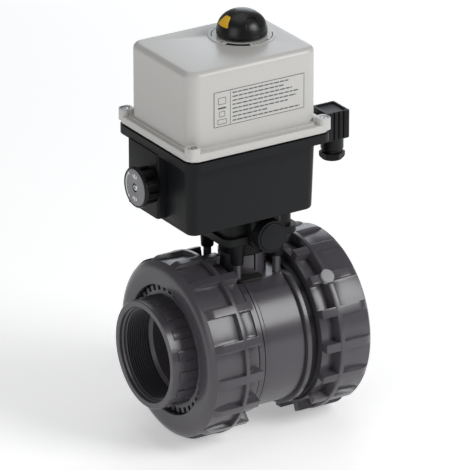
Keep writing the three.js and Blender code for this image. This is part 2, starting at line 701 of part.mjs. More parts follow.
const selector = group('selector',
  piece('selector_knob', knob(), 'black', 0, 0.5),
  piece('selector_face', knobFace(), 'disc', 0, 0.6),
  piece('selector_screw', knobScrew(), 'steel', 1, 0.35),
  piece('selector_shaft', knobShaft(), 'brass', 1, 0.4));

const connector = group('connector',
  piece('connector_base', connectorBase(), 'black', 0, 0.5),
  piece('plug_gasket', plugGasket(), 'rubber', 0, 0.8),
  piece('plug_body', plugBody(), 'black', 0, 0.5),
  piece('plug_screw', plugScrew(), 'steel', 1, 0.35),
  piece('gland_seal', glandSeal(), 'rubber', 0, 0.8),
  piece('gland_nut', glandNut(), 'black', 0, 0.5));

const assembly = group('motorised_valve', valve, unions, bracketGroup, actuator, indicator, selector, connector);
export default assembly;
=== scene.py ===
# %% [markdown]
# # A motorised ball valve
# This notebook dresses a finished CAD model. Visible parts are modelled again here with real
# rounding, threads, flutes and mould detail, and inner parts keep their CAD shape and get a
# finish.

# %% Load the frame
import math

import bpy
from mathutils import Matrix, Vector


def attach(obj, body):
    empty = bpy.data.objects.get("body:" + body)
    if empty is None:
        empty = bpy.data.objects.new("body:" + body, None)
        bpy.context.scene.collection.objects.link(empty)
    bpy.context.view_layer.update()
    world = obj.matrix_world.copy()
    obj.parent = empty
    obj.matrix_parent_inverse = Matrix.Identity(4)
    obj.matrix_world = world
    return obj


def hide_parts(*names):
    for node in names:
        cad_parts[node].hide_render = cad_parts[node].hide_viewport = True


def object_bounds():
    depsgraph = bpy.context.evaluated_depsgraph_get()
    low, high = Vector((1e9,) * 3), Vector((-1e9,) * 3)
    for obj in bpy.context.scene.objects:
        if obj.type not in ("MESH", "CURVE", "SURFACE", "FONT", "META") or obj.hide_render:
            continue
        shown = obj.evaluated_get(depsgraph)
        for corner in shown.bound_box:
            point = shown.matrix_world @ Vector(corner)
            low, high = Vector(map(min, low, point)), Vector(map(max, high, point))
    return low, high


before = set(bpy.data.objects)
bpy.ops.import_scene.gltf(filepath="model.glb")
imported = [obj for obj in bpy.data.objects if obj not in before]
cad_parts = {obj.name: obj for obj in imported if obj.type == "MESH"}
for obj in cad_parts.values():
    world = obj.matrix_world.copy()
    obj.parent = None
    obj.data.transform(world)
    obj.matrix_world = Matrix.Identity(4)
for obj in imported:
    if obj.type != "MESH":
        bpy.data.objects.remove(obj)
cad_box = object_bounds()
print("CAD box", cad_box)

MM = 0.001

# %% [markdown]
# ## Tools of the bench
# An operator acts on whatever is selected, so each helper starts from an empty selection.
# Sizes are typed in millimetres, as on a drawing, and become metres inside the helpers.


# %% Selection helpers
def clear():
    if bpy.context.object and bpy.context.object.mode == "EDIT":
        bpy.ops.object.mode_set(mode="OBJECT")
    bpy.ops.object.select_all(action="DESELECT")


def take(piece):
    clear()
    piece.select_set(True)
    bpy.context.view_layer.objects.active = piece
    return piece


def pick(piece, kind, test):
    """Select the edges (by middle and direction) or vertices (by place) that pass the test (mm)."""
    take(piece)
    bpy.ops.object.mode_set(mode="EDIT")
    bpy.ops.mesh.select_mode(type=kind)
    bpy.ops.mesh.select_all(action="DESELECT")
    bpy.ops.object.mode_set(mode="OBJECT")
    mesh = piece.data
    if kind == "EDGE":
        for edge in mesh.edges:
            a, b = (mesh.vertices[i].co for i in edge.vertices)
            edge.select = bool(test((a + b) / 2 / MM, (b - a).normalized()))
    else:
        for vertex in mesh.vertices:
            vertex.select = bool(test(vertex.co / MM))
    bpy.ops.object.mode_set(mode="EDIT")


# %% Shape helpers
def block(name, low, high, side=0, top=0, foot=0, steps=6):
    """A cube brought to size, with its upright, top and foot edges rounded (mm)."""
    clear()
    centre = [(a + b) / 2 * MM for a, b in zip(low, high)]
    size = [(b - a) * MM for a, b in zip(low, high)]
    bpy.ops.mesh.primitive_cube_add(size=1, location=centre, scale=size)
    piece = bpy.context.object
    piece.name = name
    bpy.ops.object.transform_apply(location=True, rotation=True, scale=True)
    if side:
        pick(piece, "EDGE", lambda p, d: abs(d.z) > 0.9)
        bpy.ops.mesh.bevel(offset=side * MM, segments=steps, affect="EDGES")
        bpy.ops.object.mode_set(mode="OBJECT")
    for level, radius in ((high[2], top), (low[2], foot)):
        if radius:
            pick(piece, "EDGE", lambda p, d: abs(d.z) < 0.1 and abs(p.z - level) < 0.01)
            bpy.ops.mesh.bevel(offset=radius * MM, segments=steps, affect="EDGES")
            bpy.ops.object.mode_set(mode="OBJECT")
    return piece


OUT = {"X": Vector((0, 0, 1)), "Y": Vector((1, 0, 0)), "Z": Vector((1, 0, 0))}
ALONG = {"X": Vector((1, 0, 0)), "Y": Vector((0, 1, 0)), "Z": Vector((0, 0, 1))}


def line_through(name, spots):
    """Merge a plane to one vertex and extrude it from place to place (m), left in edit mode."""
    clear()
    bpy.ops.mesh.primitive_plane_add(size=MM)
    piece = bpy.context.object
    piece.name = name
    bpy.ops.object.mode_set(mode="EDIT")
    bpy.ops.mesh.select_mode(type="VERT")
    bpy.ops.mesh.select_all(action="SELECT")
    bpy.ops.mesh.merge(type="CENTER")
    bpy.ops.transform.translate(value=spots[0])
    for here, there in zip(spots, spots[1:]):
        bpy.ops.mesh.extrude_vertices_move(TRANSFORM_OT_translate={"value": there - here})
    bpy.ops.mesh.select_all(action="SELECT")
    return piece


def lathe(name, profile, axis, centre=(0, 0, 0), steps=96, sweep=360):
    """Draw a line of (along, radius) points, then spin it about the axis."""
    centre = Vector(centre) * MM
    piece = line_through(name, [centre + ALONG[axis] * a * MM + OUT[axis] * r * MM
                                for a, r in profile])
    bpy.ops.mesh.remove_doubles(threshold=1e-7)
    bpy.ops.mesh.spin(steps=steps, angle=-math.radians(sweep), center=centre, axis=ALONG[axis])
    bpy.ops.mesh.select_all(action="SELECT")
    bpy.ops.mesh.remove_doubles(threshold=1e-6)
    bpy.ops.mesh.normals_make_consistent(inside=False)
    bpy.ops.object.mode_set(mode="OBJECT")
    return piece


def ring(profile):
    return list(profile) + [profile[0]]


def wedge(name, profile, axis, centre=(0, 0, 0), sweep=20, steps=4):
    """Part of a turn of a closed profile, with both ends filled."""
    piece = lathe(name, ring(profile), axis, centre, steps, sweep)
    take(piece)
    bpy.ops.object.mode_set(mode="EDIT")
    bpy.ops.mesh.select_mode(type="VERT")
    bpy.ops.mesh.select_all(action="DESELECT")
    bpy.ops.mesh.select_non_manifold()
    bpy.ops.mesh.fill_holes(sides=0)
    bpy.ops.mesh.select_all(action="SELECT")
    bpy.ops.mesh.normals_make_consistent(inside=False)
    bpy.ops.object.mode_set(mode="OBJECT")
    return piece


def rod(name, radius, start, end, axis, centre=(0, 0, 0), steps=48):
    return lathe(name, [(start, 0), (start, radius), (end, radius), (end, 0)], axis, centre, steps)


def bar(name, outline, low, high, axis="Z"):
    """Fill an outline and extrude it (mm): points are (x, y), (y, z) along X, or (x, z) along Y."""
    place = {
        "Z": lambda u, v: Vector((u, v, low)) * MM,
        "X": lambda u, v: Vector((low, u, v)) * MM,
        "Y": lambda u, v: Vector((u, low, v)) * MM,
    }[axis]
    piece = line_through(name, [place(u, v) for u, v in outline])
    bpy.ops.mesh.edge_face_add()
    rise = ALONG[axis] * (high - low) * MM
    bpy.ops.mesh.extrude_region_move(TRANSFORM_OT_translate={"value": rise})
    bpy.ops.mesh.select_all(action="SELECT")
    bpy.ops.mesh.normals_make_consistent(inside=False)
    bpy.ops.object.mode_set(mode="OBJECT")
    return piece


# %% Joining, cutting and softening helpers
def all_of(piece):
    """Open the piece in edit mode with everything selected."""
    take(piece)
    bpy.ops.object.mode_set(mode="EDIT")
    bpy.ops.mesh.select_all(action="SELECT")


def turned(piece, angle, axis="X", centre=(0, 0, 0)):
    """Turn the shape itself. Without a window the operator turns the other way."""
    all_of(piece)
    bpy.ops.transform.rotate(value=-math.radians(angle), orient_axis=axis,
                             center_override=Vector(centre) * MM)
    bpy.ops.object.mode_set(mode="OBJECT")
    return piece


def moved(piece, offset):
    all_of(piece)
    bpy.ops.transform.translate(value=Vector(offset) * MM)
    bpy.ops.object.mode_set(mode="OBJECT")
    return piece


def copied(piece, name):
    twin = piece.copy()
    twin.data = piece.data.copy()
    twin.name = name
    bpy.context.collection.objects.link(twin)
    return twin


def joined(pieces, name):
    clear()
    for piece in pieces:
        piece.select_set(True)
    bpy.context.view_layer.objects.active = pieces[0]
    if len(pieces) > 1:
        bpy.ops.object.join()
    pieces[0].name = name
    return pieces[0]


def around(piece, count, axis="X", centre=(0, 0, 0)):
    ring_of = [piece]
    for i in range(1, count):
        ring_of.append(turned(copied(piece, f"{piece.name}_{i}"), 360 * i / count, axis, centre))
    return joined(ring_of, piece.name)


def combine(piece, tool, how="DIFFERENCE"):
    take(piece)
    change = piece.modifiers.new("change", "BOOLEAN")
    change.operation = how
    change.object = tool
    change.solver = "EXACT"
    change.use_self = False
    bpy.ops.object.modifier_apply(modifier=change.name)
    bpy.data.objects.remove(tool, do_unlink=True)
    return piece


def soften(piece, width, segments=2, angle=30):
    """Round every edge sharper than the angle, as a mould does, and shade the rest smooth."""
    take(piece)
    if width:
        edge = piece.modifiers.new("edge", "BEVEL")
        edge.width = width * MM
        edge.segments = segments
        edge.limit_method = "ANGLE"
        edge.angle_limit = math.radians(angle)
        edge.harden_normals = False
        edge.miter_outer = "MITER_ARC"
        bpy.ops.object.modifier_apply(modifier=edge.name)
    bpy.ops.object.shade_smooth_by_angle(angle=math.radians(angle + 5))
    return piece


def drafted(piece, centre, amount):
    """Draw the foot of a box in towards its centre, as mould draft does."""
    half_way = sum(corner[2] for corner in piece.bound_box) / 8 / MM
    pick(piece, "VERT", lambda p: p.z < half_way)
    bpy.ops.transform.resize(value=(1 - amount, 1 - amount, 1), center_override=Vector((*centre, 0)) * MM)
    bpy.ops.object.mode_set(mode="OBJECT")
    return piece


# %% [markdown]
# ## Finishes
# Every finish starts from a real material and how its surface was made. Colours are typed as sRGB
# hex values, and one function turns them to the linear values that a shader wants.


# %% Material helpers
def linear(code):
    channels = [int(code[i:i + 2], 16) / 255 for i in (1, 3, 5)]
    return [c / 12.92 if c <= 0.04045 else ((c + 0.055) / 1.055) ** 2.4 for c in channels] + [1.0]


def add(material, kind, inputs=None, **settings):
    """Add a node, set it, and link or fill its inputs."""
    node = material.node_tree.nodes.new(kind)
    for key, value in settings.items():
        setattr(node, key, value)
    for key, value in (inputs or {}).items():
        if isinstance(value, bpy.types.NodeSocket):
            material.node_tree.links.new(value, node.inputs[key])
        else:
            node.inputs[key].default_value = value
    return node


def blank(name):
    material = bpy.data.materials.new(name)
    material.use_nodes = True
    material.node_tree.nodes.clear()
    return material


def surfaced(material, shader):
    add(material, "ShaderNodeOutputMaterial", {"Surface": shader.outputs[0]})
    return material


def moulded(name, colour, other, rough, ior=1.5, grain_mm=0.6, depth_mm=0.02, cloud_mm=40, coat=0.0):
    """Moulded plastic: slow clouding of the colour, a fine eroded grain, and uneven gloss."""
    m = blank(name)
    where = add(m, "ShaderNodeTexCoord").outputs["Object"]
    cloud = add(m, "ShaderNodeTexNoise", {"Vector": where, "Scale": 1000 / cloud_mm, "Detail": 3.0})
    grain = add(m, "ShaderNodeTexNoise", {"Vector": where, "Scale": 1000 / grain_mm, "Detail": 2.0})
    mix = add(m, "ShaderNodeMix", {"Factor": cloud.outputs["Fac"]}, data_type="RGBA")
    # a colour mix keeps its two colours in sockets 6 and 7
    mix.inputs[6].default_value = linear(colour)
    mix.inputs[7].default_value = linear(other)
    gloss = add(m, "ShaderNodeMapRange", {"Value": cloud.outputs["Fac"], "From Min": 0.2,
                                          "From Max": 0.8, "To Min": rough - 0.02, "To Max": rough + 0.02})
    bump = add(m, "ShaderNodeBump", {"Height": grain.outputs["Fac"], "Strength": 0.35,
                                     "Distance": depth_mm * MM})
    shader = add(m, "ShaderNodeBsdfPrincipled", {
        "Base Color": mix.outputs[2], "Roughness": gloss.outputs["Result"],
        "Normal": bump.outputs["Normal"], "IOR": ior, "Coat Weight": coat, "Coat Roughness": 0.12})
    return surfaced(m, shader)


def metal(name, colour, rough, streak=(60, 60, 900), depth_mm=0.01):
    """Machined or plated metal: fine tool marks stretched one way, in gloss and bump."""
    m = blank(name)
    where = add(m, "ShaderNodeTexCoord").outputs["Object"]
    lay = add(m, "ShaderNodeMapping", {"Vector": where, "Scale": streak})
    marks = add(m, "ShaderNodeTexNoise", {"Vector": lay.outputs["Vector"], "Scale": 8.0, "Detail": 4.0})
    gloss = add(m, "ShaderNodeMapRange", {"Value": marks.outputs["Fac"], "To Min": rough - 0.08,
                                          "To Max": rough + 0.08})
    bump = add(m, "ShaderNodeBump", {"Height": marks.outputs["Fac"], "Strength": 0.3,
                                     "Distance": depth_mm * MM})
    shader = add(m, "ShaderNodeBsdfPrincipled", {
        "Base Color": linear(colour), "Metallic": 1.0, "Roughness": gloss.outputs["Result"],
        "Normal": bump.outputs["Normal"]})
    return surfaced(m, shader)


# %% [markdown]
# The pipe parts are grey PVC-U, injection moulded: satin, slightly warm, with a faint bloom. The
# actuator's lower case is black glass-filled polyamide with a spark-eroded texture, its cover a
# light grey blend with a fine texture, and the dome smooth polycarbonate. On the black parts the
# texture scatters most of the shine away, so their IOR is matched to the object well below the
# plastic's own value. A real mould's grain is far too fine to see here, so it is drawn 0.4 to 1.5 mm
# coarse to show at all.

# %% Finishes used on this valve
# satin grey, with long soft highlights along the barrel
pvc = moulded("PVC-U satin moulded", "#474449", "#4b484d", 0.25, 1.5, 0.9, 0.006, 60)
# the same plastic with painted shade for the bore, where little light reaches: darker colour, and duller
pvc_painted_shade = moulded("PVC-U bore, painted shade", "#302e32", "#353337", 0.4, 1.53, 0.9, 0.008, 60)
# near black, even and almost without shine
case_black = moulded("PA66 glass-filled eroded", "#141517", "#18191b", 0.46, 1.26, 0.8, 0.03, 50)
# a shade darker and a little smoother than the case
bracket_black = moulded("PA66 bracket moulded", "#121315", "#161719", 0.42, 1.26, 0.8, 0.02, 50)
# light warm grey with a soft sheen on its rounded edges
cover_grey = moulded("ABS-PC fine textured", "#bdbcb9", "#c2c1be", 0.36, 1.55, 0.9, 0.02, 70)
# smooth black with one broad highlight
dome_black = moulded("Polycarbonate polished", "#0e0e0f", "#111112", 0.33, 1.42, 1.5, 0.002, 30, 0.05)
# strong warm yellow, seen at a distance
flag_yellow = moulded("ABS yellow", "#efbb1c", "#f4c430", 0.4, 1.54, 0.7, 0.01, 12)
# fine matt black
plug_black = moulded("PA plug fine matt", "#101113", "#141518", 0.44, 1.28, 0.7, 0.03, 20)
# black, slightly shinier where fingers polish it
knob_black = moulded("PA knob", "#0f0f11", "#131315", 0.38, 1.32, 0.7, 0.02, 20)
# flat mid grey that makes the white marks stand out
disc_grey = moulded("ABS disc matt", "#7c7c80", "#828286", 0.55, 1.54, 0.5, 0.015, 10)
# flat light grey dot on the dark nut
button_grey = moulded("ABS button matt", "#949497", "#9b9b9e", 0.6, 1.54, 0.5, 0.01, 10)
# dull rubber that swallows the light; the same black is also used as painted shade
seal_and_shade_black = moulded("EPDM rubber and painted shade", "#121212", "#1a1a1a", 0.75, 1.52, 0.5, 0.02, 15)
# waxy white with a low shine
seat_white = moulded("PTFE turned", "#e9e9e4", "#f2f2ee", 0.4, 1.36, 0.5, 0.01, 20)
# creamy white, slightly waxy
acetal = moulded("Acetal natural", "#ddd8ca", "#e6e2d6", 0.38, 1.48, 0.5, 0.01, 15)
# dull brick red
acetal_red = moulded("Acetal red", "#98301f", "#a83828", 0.38, 1.48, 0.5, 0.01, 15)
# glossy green lacquer
board_green = moulded("Solder mask on glass-epoxy", "#1c5c35", "#236f41", 0.3, 1.55, 1.2, 0.02, 8)
# plain signal blue
terminal_blue = moulded("PA terminal blue", "#2a569c", "#3163ad", 0.45, 1.53, 0.6, 0.02, 12)
# bright bluish metal with fine streaks
zinc = metal("Zinc-plated steel", "#c3c6c9", 0.3)
# cool bright metal with turning marks
steel = metal("Stainless steel turned", "#b9bbbd", 0.28)
# duller grey metal with rolling marks one way
plate_steel = metal("Rolled steel plate", "#a2a4a6", 0.42, (15, 400, 15))
# warm yellow metal
brass = metal("Brass turned", "#c0a050", 0.3)
# dense black print
ink = moulded("Printed ink, dark", "#151617", "#1a1b1c", 0.5, 1.5, 0.4, 0.003, 20)
# thin dark grey print
ink_soft = moulded("Printed ink, fine", "#4a4b4e", "#525356", 0.5, 1.5, 0.4, 0.003, 20)
# bright opaque print
ink_white = moulded("Printed ink, white", "#e6e6e6", "#efefef", 0.5, 1.5, 0.4, 0.003, 20)
print("finishes:", len(bpy.data.materials))


# %% How a finished piece is handed over
def hand_over(piece, body, slot, finish, *nodes):
    """Give the piece its finish, its body and the CAD nodes that it stands for."""
    piece.data.materials.clear()
    piece.data.materials.append(finish)
    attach(piece, body)
    if nodes:
        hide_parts(*nodes)
    print(piece.name, len(piece.data.polygons), "faces, rides on", body)
    return piece


# %% [markdown]
# ## Camera, light and floor
# A long lens from the front left, a little above, keeps the box's edges nearly parallel. The floor
# is a pale light table that glows a little, so the underside of the barrel is not lost. Four large
# soft lights give satin plastic its long smooth highlights, and the one behind is slightly cool.

# %% Camera and floor
AIM = Vector((-7.4, 0, 98.3)) * MM
AZIMUTH, ELEVATION, DISTANCE = math.radians(-32.2), math.radians(23.0), 4.84
back = Vector((math.sin(AZIMUTH) * math.cos(ELEVATION), -math.cos(AZIMUTH) * math.cos(ELEVATION),
               math.sin(ELEVATION)))
camera_data = bpy.data.cameras.new("camera")
camera_data.lens = 400
camera_data.sensor_width = 36
camera_data.clip_end = 100
camera = bpy.data.objects.new("camera", camera_data)
camera.location = AIM + back * DISTANCE
camera.rotation_euler = back.to_track_quat("Z", "Y").to_euler()
bpy.context.collection.objects.link(camera)
bpy.context.scene.camera = camera

FLOOR = cad_box[0][2] - 0.0002
clear()
bpy.ops.mesh.primitive_plane_add(size=8, location=(0, 0, FLOOR))
floor = bpy.context.object
floor.name = "floor"
floor_paint = moulded("Matt white paint", "#fafafa", "#fcfcfc", 0.8, 1.5, 5, 0.01, 500)
glow = floor_paint.node_tree.nodes["Principled BSDF"]
glow.inputs["Emission Color"].default_value = (1, 1, 1, 1)
glow.inputs["Emission Strength"].default_value = 0.36
floor.data.materials.append(floor_paint)


# %% Lights
def lamp(name, place, size, power, colour=(1, 1, 1)):
    data = bpy.data.lights.new(name, "AREA")
    data.shape = "RECTANGLE"
    data.size, data.size_y = size
    data.energy = power
    data.color = colour
    light = bpy.data.objects.new(name, data)
    light.location = place
    aim = Vector(place) - Vector((0, 0, 0.1))
    light.rotation_euler = aim.to_track_quat("Z", "Y").to_euler()
    bpy.context.collection.objects.link(light)
    return light


lamp("key softbox", (1.1, -1.6, 1.35), (1.0, 1.2), 30)
lamp("left fill", (-1.9, -0.7, 0.7), (1.2, 1.4), 9)
lamp("top bank", (0.0, 0.3, 2.1), (1.6, 1.6), 7)
lamp("rim light", (1.2, 1.6, 0.8), (0.8, 1.4), 7, (0.88, 0.93, 1.0))
world = bpy.data.worlds.new("studio")
world.use_nodes = True
world.node_tree.nodes["Background"].inputs["Color"].default_value = (1, 1, 1, 1)
world.node_tree.nodes["Background"].inputs["Strength"].default_value = 0.2
bpy.context.scene.world = world
bpy.context.scene.view_settings.view_transform = "Standard"

# %% [markdown]
# ## Valve body
# One moulding: a barrel, a flat saddle on top, the stem's neck with its slot, and four posts for the
# bracket. On the left the barrel ends in a collar. On the right it ends in a narrow lip and a deep
# groove, lined with black as painted shade. A spun profile gives all of this, with its fine ring lines, in one
# step.

# %% Valve body
BARREL, COLLAR, SADDLE = 71.5, 75.5, 64.6
REACH = 9
half = [(15.2, BARREL), (15.2, BARREL - 0.9), (16.4, BARREL - 0.9), (16.4, COLLAR - 1.6),
        (17.8, COLLAR - 0.4), (20.8, COLLAR - 0.4), (20.8, COLLAR - 1.6), (21.9, COLLAR - 1.6),
        (21.9, COLLAR), (27.2, COLLAR), (28.5, COLLAR - 1.2), (28.5, 72), (31, 72), (31, 74.4),
        (60, 74.4), (60, 61.5), (48, 61.5), (48, 60)]
groove = [(15.2, BARREL), (15.2, BARREL - 0.9), (16.4, BARREL - 0.9), (16.4, COLLAR - 0.6), (17.2, COLLAR),
          (20.6, COLLAR), (21.2, COLLAR - 0.6), (21.2, 65.6), (29.6, 65.6), (29.6, 72), (31, 72)] + half[-5:]
profile = [(-x, r) for x, r in reversed(half)] + [(x + REACH, r) for x, r in groove]
body = lathe("valve_body_shell", ring(profile), "X", steps=160)
combine(body, block("saddle_cut", (-29.6, -45, SADDLE), (29.6 + REACH, 45, 90)))
combine(body, rod("neck", 22.5, 60.5, 85, "Z", steps=96), "UNION")
POSTS = [(sx * 21.5, sy * 26) for sx in (-1, 1) for sy in (-1, 1)]
for x, y in POSTS:
    combine(body, rod("post", 3.8, 62, 81.5, "Z", (x, y, 0)), "UNION")
combine(body, rod("stem_bore", 12.3, 50, 100, "Z"))
combine(body, rod("stem_seat", 15.5, 50, 63.4, "Z"))
for y in (-18.5, 18.5):
    combine(body, block("neck_slot", (-0.9, y - 6.5, 69), (0.9, y + 6.5, 90)))
soften(body, 0.45)
hand_over(body, "valve", "pvc", pvc, "valve_body")
# a black ring inside the right-hand groove: painted shade standing for the deep shadow there
shade_lining = lathe("groove_painted_shade", ring([(30.4, 65.7), (30.4, 71.5), (38.4, 71.5), (38.4, 65.7)]), "X", steps=160)
hand_over(soften(shade_lining, 0.4), "valve", "rubber", seal_and_shade_black)

# %% [markdown]
# ## Union nuts
# Each nut is a turned ring with sixteen grip pockets outside, and sixteen square teeth at its inner
# end. A pocket is deep at the ring and shallow at the rounded face, so its floor is a tilted plane.

# %% Union nuts
NUT_R, NUT_OUT = 87.5, 84
NUT_TURN = {"left": 3.6, "right": -2.0}
BUTTON_RIB = {"left": 10, "right": 2}


def arc(cx, cr, radius, start, end, count):
    return [(cx + radius * math.cos(math.radians(start + (end - start) * i / count)),
             cr + radius * math.sin(math.radians(start + (end - start) * i / count)))
            for i in range(count + 1)]


def union_nut(side):
    """Twelve of the 192 facets make one pitch: nine under a pocket and three under a rib."""
    name = "right" if side > 0 else "left"
    reach = REACH if side > 0 else 0
    facet = 360 / 192
    outline = [(30, 75.4), (30, NUT_R - 0.9), (45.6, NUT_R - 0.9), (46.2, NUT_R), (49.4, NUT_R)]
    outline += arc(70, 73.5, 14, 90, 0, 10)
    outline += [(NUT_OUT, 62.6), (83.4, 62), (70.5, 62), (70.5, 75.4)]
    nut = lathe(f"nut_{name}", ring([(side * (x + reach), r) for x, r in outline]), "X", steps=192)
    pocket = [(49.6, 83.0), (62, 83.2), (82, 84.4), (84, 99), (49.6, 99)]
    gap = [(26, 78), (41.5, 78), (41.5, 76.8), (45.4, 76.8), (45.4, 99), (26, 99)]
    for shape in (pocket, gap):
        tool = wedge("tool", [(side * (x + reach), r) for x, r in shape], "X", sweep=9 * facet, steps=9)
        combine(nut, around(turned(tool, 2.5 * facet), 16))
    turned(nut, NUT_TURN[name] - facet)
    lean = BUTTON_RIB[name] * 22.5 + NUT_TURN[name]
    combine(nut, turned(rod("seat", 6.9, 83.6, 95, "Z", (side * (47 + reach), 0, 0)), lean))
    soften(nut, 0.45)
    hand_over(nut, f"{name}_nut", "pvc", pvc, f"union_nut_{name}")
    button = lathe(f"button_{name}", [(83.7, 0), (83.7, 6.7), (88.7, 6.7), (89.1, 6.3), (89.1, 0)],
                   "Z", (side * (47 + reach), 0, 0), 48)
    soften(turned(button, lean), 0.2)
    hand_over(button, f"{name}_nut", "button", button_grey, f"nut_button_{name}")


union_nut(-1)
union_nut(1)

# %% [markdown]
# ## End connectors
# The threaded end of each union: a tube with lengthwise grip facets, a toothed ring that the nut's
# lock engages, and a parallel pipe thread of 11 turns to the inch inside the mouth.

# %% End connectors
PITCH = 25.4 / 11
RIM = 106.6


def end_connector(side):
    name = "right" if side > 0 else "left"
    reach = REACH if side > 0 else 0
    outline = [(60.6, 40), (60.6, 64.2), (63.6, 64.2), (63.6, 68.6), (60.6, 68.6), (60.6, 73.4),
               (70, 73.4), (70, 61), (79, 61), (79, 54.4), (80.5, 51.7), (105.9, 51.7),
               (RIM, 51.0), (RIM, 46.0), (105.9, 45.4), (103.6, 45.4), (102.2, 44.1), (76, 44.1), (73, 40)]
    outline = [(side * (x + reach if x < 85 else x), r) for x, r in outline]
    tube = lathe(f"end_connector_{name}_shell", ring(outline), "X", steps=160)
    for i, (end, crest) in enumerate(((99.5, 52.7), (93.5, 52.4))):
        shape = [(79 + reach, 50), (79 + reach, crest), (end, crest), (end, 50)]
        facet = wedge("facet", [(side * x, r) for x, r in shape], "X", sweep=10.6, steps=4)
        combine(tube, around(turned(facet, i * 11.25), 16), "UNION")
    slot = block("slot", (74.5 + reach, -2.3, 56.0), (82 + reach, 2.3, 64))
    if side < 0:
        turned(slot, 180, "Z")
    combine(tube, around(slot, 40))
    soften(tube, 0.3)
    hand_over(tube, f"{name}_end", "pvc", pvc, f"end_connector_{name}")


def mouth_thread(name, low, high):
    """A V ridge pushed round and along by a Screw modifier, right-handed, then closed at both ends."""
    ridge = [Vector((low + a, 0, r)) * MM for a, r in ((0, 44.3), (0.95, 42.7), (1.3, 42.7), (2.2, 44.3))]
    thread = line_through(f"mouth_thread_{name}", ring(ridge))
    bpy.ops.mesh.remove_doubles(threshold=1e-7)
    bpy.ops.object.mode_set(mode="OBJECT")
    screw = thread.modifiers.new("screw", "SCREW")
    screw.axis = "X"
    screw.screw_offset = PITCH * MM
    screw.iterations = int((high - low - 2.2) / PITCH)
    screw.steps = 72
    screw.render_steps = 72
    screw.use_merge_vertices = False
    bpy.ops.object.modifier_apply(modifier=screw.name)
    bpy.ops.object.mode_set(mode="EDIT")
    bpy.ops.mesh.select_all(action="DESELECT")
    bpy.ops.mesh.select_non_manifold()
    bpy.ops.mesh.fill_holes(sides=0)
    bpy.ops.mesh.select_all(action="SELECT")
    bpy.ops.mesh.normals_make_consistent(inside=False)
    bpy.ops.object.mode_set(mode="OBJECT")
    soften(thread, 0)
    # the thread takes the PVC with painted shade, darker than the outside of the same plastic
    hand_over(thread, f"{name}_end", "pvc", pvc_painted_shade)


for side in (-1, 1):
    end_connector(side)
mouth_thread("left", -102, -76.5)
mouth_thread("right", 76.5 + REACH, 102)

# %% [markdown]
# ## Mounting bracket
# A stepped black block under the gearbox with four tapered legs, and a round blanking plug facing
# the front. It is built up from rounded blocks and turned bosses, then softened as one.

# %% Mounting bracket
CAP_X, CAP_Z = -0.7, 114.3
bracket = block("bracket_block", (-40, -37, 104), (40, 37, 112), side=9, foot=1.5)
combine(bracket, block("upper", (-36, -33.5, 111), (36, 33.5, 136.2), side=8), "UNION")
combine(bracket, block("web", (-16, -44, 102), (16, -30.2, 133), side=4, top=3, foot=3), "UNION")
combine(bracket, rod("collar", 21.5, 85.3, 105, "Z", steps=96), "UNION")
for x, y in POSTS:
    leg = lathe("leg", [(82, 0), (82, 5.6), (83, 6.0), (104, 7.2), (109, 7.2), (109, 0)],
                "Z", (x, y, 0), 48)
    combine(bracket, leg, "UNION")
combine(bracket, rod("boss", 15.5, -54, -30.5, "Y", (CAP_X, 0, CAP_Z), 96), "UNION")
combine(bracket, rod("shaft_way", 16, 80, 140, "Z", steps=64))
combine(bracket, rod("shaft_room", 21.2, 130.5, 140, "Z", steps=64))
combine(bracket, rod("plug_seat", 13.7, -57, -50, "Y", (CAP_X, 0, CAP_Z), 96))
for x, y in POSTS:
    combine(bracket, rod("screw_way", 3.3, 80, 124, "Z", (x, y, 0), 32))
    combine(bracket, rod("screw_room", 6, 115.9, 140, "Z", (x, y, 0), 32))
soften(bracket, 0.6)
hand_over(bracket, "valve", "black", bracket_black, "mounting_bracket")

cap = lathe("bracket_cap", [(-50.4, 0), (-50.4, 13.4), (-54.4, 13.4), (-55, 12.8), (-55, 0)], "Y",
            (CAP_X, 0, CAP_Z), 96)
soften(cap, 0.3)
hand_over(cap, "valve", "black", bracket_black, "bracket_plug")

# %% [markdown]
# ## Lower case
# A drafted, round-cornered tub with a thick rim, and a raised pad on its left wall for the selector.
# The tub is cut hollow so that the gears inside are really inside.

# %% Lower case
X0, X1, Y0, Y1 = -96, 43, -63.7, 42.5
CASE_Z0, CASE_Z1 = 136.5, 213.8
MID = ((X0 + X1) / 2, (Y0 + Y1) / 2)
RIM_LOW, RIM_HIGH = (-103, -76), (51.4, 54)
case = drafted(block("case", (X0, Y0, CASE_Z0), (X1, Y1, CASE_Z1), side=10, foot=3.0), MID, 0.03)
combine(case, block("rim", (*RIM_LOW, 205.4), (*RIM_HIGH, CASE_Z1), side=12, steps=10), "UNION")
combine(case, block("pad", (-104, -21, 143), (-80, 31, 206), side=2.5), "UNION")
hollow = block("hollow", (X0 + 4, Y0 + 4, 141), (X1 - 4, Y1 - 4, 216), side=6)
combine(case, drafted(hollow, MID, 0.03))
combine(case, rod("shaft_way", 20.4, 130, 150, "Z", steps=64))
combine(case, rod("selector_way", 4.5, -120, -70, "X", (0, -13, 175.8), 32))
combine(case, rod("wire_way", 9, 30, 60, "X", (0, -10.6, 190), 32))
soften(case, 0.7)
hand_over(case, "valve", "black", case_black, "gear_housing")

# %% [markdown]
# ## Cover
# A light grey hood with generous upright corners, a softly rounded top, a stepped flange that seals
# on the case, and a lug for a screw at each corner.

